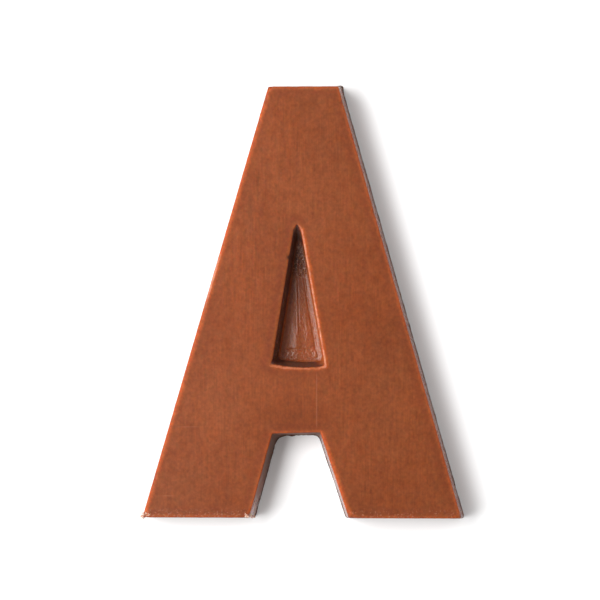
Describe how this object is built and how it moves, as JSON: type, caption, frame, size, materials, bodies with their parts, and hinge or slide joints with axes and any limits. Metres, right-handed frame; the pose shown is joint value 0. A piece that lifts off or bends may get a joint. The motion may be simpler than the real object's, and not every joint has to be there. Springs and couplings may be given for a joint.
{
  "type": "chocolate letter",
  "caption": "Solid milk chocolate capital letter A with a moulded satin face, slanting sides, an open notch between its feet, a blind triangular pocket and a flat poured back.",
  "frame": {"origin": "centre of the part's box in plan, on the plane of the poured back that it rests on", "axes": "+Z out of the moulded face, +Y from the letter's feet to its top, +X to the letter's right as it is read"},
  "size_m": [0.0982, 0.1324, 0.012],
  "materials": {
    "milk_chocolate": null
  },
  "bodies": {
    "root": {"chocolate_letter": "milk_chocolate"}
  },
  "joints": []
}
